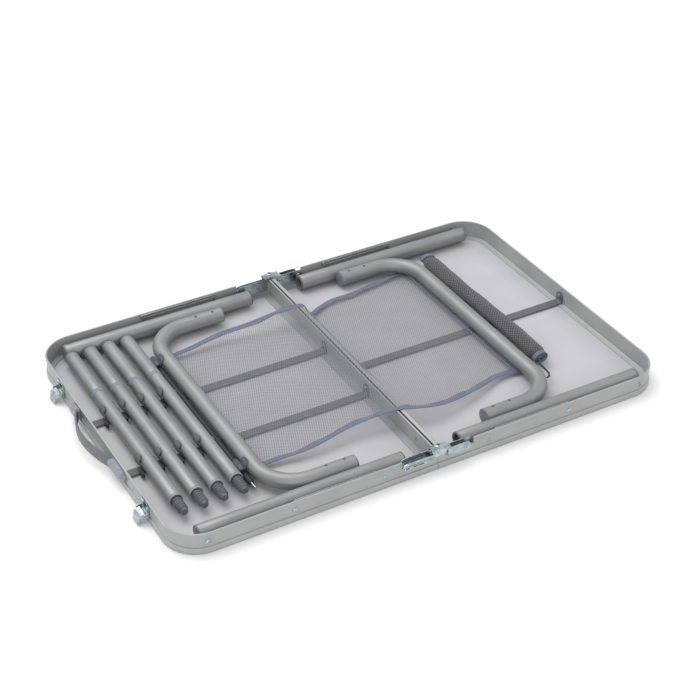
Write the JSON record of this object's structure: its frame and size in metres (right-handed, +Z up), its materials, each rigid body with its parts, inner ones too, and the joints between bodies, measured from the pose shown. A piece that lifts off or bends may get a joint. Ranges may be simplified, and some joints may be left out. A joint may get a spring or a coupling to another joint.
{
  "type": "folding picnic table",
  "caption": "Suitcase-style aluminium folding picnic table lying open with its folded legs, stored extension legs, storage net, latches and carrying handle.",
  "frame": {"origin": "centre of the whole object's box, on the surface that the tabletop lies on", "axes": "+X along the table from the handle side to the other half, +Y across it, +Z up, away from the tabletop"},
  "size_m": [0.865, 0.55, 0.0419],
  "materials": {
    "rim": "satin anodised",
    "tube": "satin anodised",
    "panel": "matte laminate",
    "bar": "satin dark grey",
    "zinc": "bright zinc plate",
    "dark_plastic": "moulded",
    "grey_plastic": "moulded",
    "net": "open knitted mesh",
    "net_roll": "rolled mesh"
  },
  "bodies": {
    "left_half": {"left_rim": "rim", "left_centre_rail": "rim", "left_panel": "panel", "left_hinge_leaf_front": "zinc", "left_hinge_leaf_back": "zinc", "left_bar_front": "bar", "clip_strip_front": "dark_plastic", "handle_cover_front": "grey_plastic", "latch_base_front": "zinc", "left_bar_back": "bar", "clip_strip_back": "dark_plastic", "handle_cover_back": "grey_plastic", "latch_base_back": "zinc", "handle_strap": "grey_plastic", "net_left": "net"},
    "right_half": {"right_rim": "rim", "right_centre_rail": "rim", "right_panel": "panel", "right_hinge_leaf_front": "zinc", "right_hinge_leaf_back": "zinc", "latch_keeper_front": "zinc", "latch_keeper_back": "zinc", "right_bar": "bar", "net_right": "net"},
    "left_leg_frame": {"left_leg_crossbar": "tube", "left_leg_tube_front": "tube", "left_leg_socket_front": "dark_plastic", "left_leg_tube_back": "tube", "left_leg_socket_back": "dark_plastic", "net_clip_front": "dark_plastic", "net_clip_back": "dark_plastic", "net_rod": "dark_plastic"},
    "right_leg_frame": {"right_leg_crossbar": "tube", "right_leg_tube_front": "tube", "right_leg_socket_front": "dark_plastic", "right_leg_tube_back": "tube", "right_leg_socket_back": "dark_plastic", "net_roll": "net_roll"},
    "left_stay_lower_front": {"left_stay_lower_front": "zinc"},
    "left_stay_upper_front": {"left_stay_upper_front": "zinc"},
    "left_stay_lower_back": {"left_stay_lower_back": "zinc"},
    "left_stay_upper_back": {"left_stay_upper_back": "zinc"},
    "right_stay_lower_front": {"right_stay_lower_front": "zinc"},
    "right_stay_upper_front": {"right_stay_upper_front": "zinc"},
    "right_stay_lower_back": {"right_stay_lower_back": "zinc"},
    "right_stay_upper_back": {"right_stay_upper_back": "zinc"},
    "latch_lever_front": {"latch_lever_front": "zinc"},
    "latch_lever_back": {"latch_lever_back": "zinc"},
    "extension_leg_1": {"extension_leg_1_tube": "tube", "extension_leg_1_plug": "dark_plastic", "extension_leg_1_foot": "dark_plastic"},
    "extension_leg_2": {"extension_leg_2_tube": "tube", "extension_leg_2_plug": "dark_plastic", "extension_leg_2_foot": "dark_plastic"},
    "extension_leg_3": {"extension_leg_3_tube": "tube", "extension_leg_3_plug": "dark_plastic", "extension_leg_3_foot": "dark_plastic"},
    "extension_leg_4": {"extension_leg_4_tube": "tube", "extension_leg_4_plug": "dark_plastic", "extension_leg_4_foot": "dark_plastic"}
  },
  "joints": [
    {"name": "fold", "type": "hinge", "parent": "left_half", "child": "right_half", "pos_m": [0.0075, 0, 0.036], "axis": [0, 1, 0], "range_deg": [-180, 0]},
    {"name": "left_legs_fold", "type": "hinge", "parent": "left_half", "child": "left_leg_frame", "pos_m": [-0.3645, 0, 0.0205], "axis": [0, -1, 0], "range_deg": [0, 90]},
    {"name": "left_stay_lower_front_pivot", "type": "hinge", "parent": "left_half", "child": "left_stay_lower_front", "pos_m": [-0.2295, -0.2693, 0.0205], "axis": [0, -1, 0], "range_deg": [0, 127.2]},
    {"name": "left_stay_upper_front_elbow", "type": "hinge", "parent": "left_stay_lower_front", "child": "left_stay_upper_front", "pos_m": [-0.0955, -0.2674, 0.0205], "axis": [0, -1, 0], "range_deg": [-180.2, 0]},
    {"name": "left_stay_lower_back_pivot", "type": "hinge", "parent": "left_half", "child": "left_stay_lower_back", "pos_m": [-0.2295, 0.2693, 0.0205], "axis": [0, -1, 0], "range_deg": [0, 127.2]},
    {"name": "left_stay_upper_back_elbow", "type": "hinge", "parent": "left_stay_lower_back", "child": "left_stay_upper_back", "pos_m": [-0.0955, 0.2674, 0.0205], "axis": [0, -1, 0], "range_deg": [-180.2, 0]},
    {"name": "right_legs_fold", "type": "hinge", "parent": "right_half", "child": "right_leg_frame", "pos_m": [0.3795, 0, 0.0205], "axis": [0, 1, 0], "range_deg": [0, 90]},
    {"name": "right_stay_lower_front_pivot", "type": "hinge", "parent": "right_half", "child": "right_stay_lower_front", "pos_m": [0.2445, -0.2693, 0.0205], "axis": [0, 1, 0], "range_deg": [0, 127.2]},
    {"name": "right_stay_upper_front_elbow", "type": "hinge", "parent": "right_stay_lower_front", "child": "right_stay_upper_front", "pos_m": [0.1105, -0.2674, 0.0205], "axis": [0, 1, 0], "range_deg": [-180.2, 0]},
    {"name": "right_stay_lower_back_pivot", "type": "hinge", "parent": "right_half", "child": "right_stay_lower_back", "pos_m": [0.2445, 0.2693, 0.0205], "axis": [0, 1, 0], "range_deg": [0, 127.2]},
    {"name": "right_stay_upper_back_elbow", "type": "hinge", "parent": "right_stay_lower_back", "child": "right_stay_upper_back", "pos_m": [0.1105, 0.2674, 0.0205], "axis": [0, 1, 0], "range_deg": [-180.2, 0]},
    {"name": "latch_front_swing", "type": "hinge", "parent": "left_half", "child": "latch_lever_front", "pos_m": [-0.4171, -0.164, 0.015], "axis": [0, 1, 0], "range_deg": [0, 45]},
    {"name": "latch_back_swing", "type": "hinge", "parent": "left_half", "child": "latch_lever_back", "pos_m": [-0.4171, 0.164, 0.015], "axis": [0, 1, 0], "range_deg": [0, 45]},
    {"name": "extension_leg_1_lift", "type": "slide", "parent": "left_half", "child": "extension_leg_1", "axis": [0, 0, 1], "range_m": [0, 0.06]},
    {"name": "extension_leg_2_lift", "type": "slide", "parent": "left_half", "child": "extension_leg_2", "axis": [0, 0, 1], "range_m": [0, 0.06]},
    {"name": "extension_leg_3_lift", "type": "slide", "parent": "left_half", "child": "extension_leg_3", "axis": [0, 0, 1], "range_m": [0, 0.06]},
    {"name": "extension_leg_4_lift", "type": "slide", "parent": "left_half", "child": "extension_leg_4", "axis": [0, 0, 1], "range_m": [0, 0.06]}
  ],
  "couplings": [
    {"joint": "left_stay_lower_front_pivot", "follows": "left_legs_fold", "ratio": 1.4111},
    {"joint": "left_stay_upper_front_elbow", "follows": "left_legs_fold", "ratio": -2},
    {"joint": "left_stay_lower_back_pivot", "follows": "left_legs_fold", "ratio": 1.4111},
    {"joint": "left_stay_upper_back_elbow", "follows": "left_legs_fold", "ratio": -2},
    {"joint": "right_stay_lower_front_pivot", "follows": "right_legs_fold", "ratio": 1.4111},
    {"joint": "right_stay_upper_front_elbow", "follows": "right_legs_fold", "ratio": -2},
    {"joint": "right_stay_lower_back_pivot", "follows": "right_legs_fold", "ratio": 1.4111},
    {"joint": "right_stay_upper_back_elbow", "follows": "right_legs_fold", "ratio": -2}
  ]
}
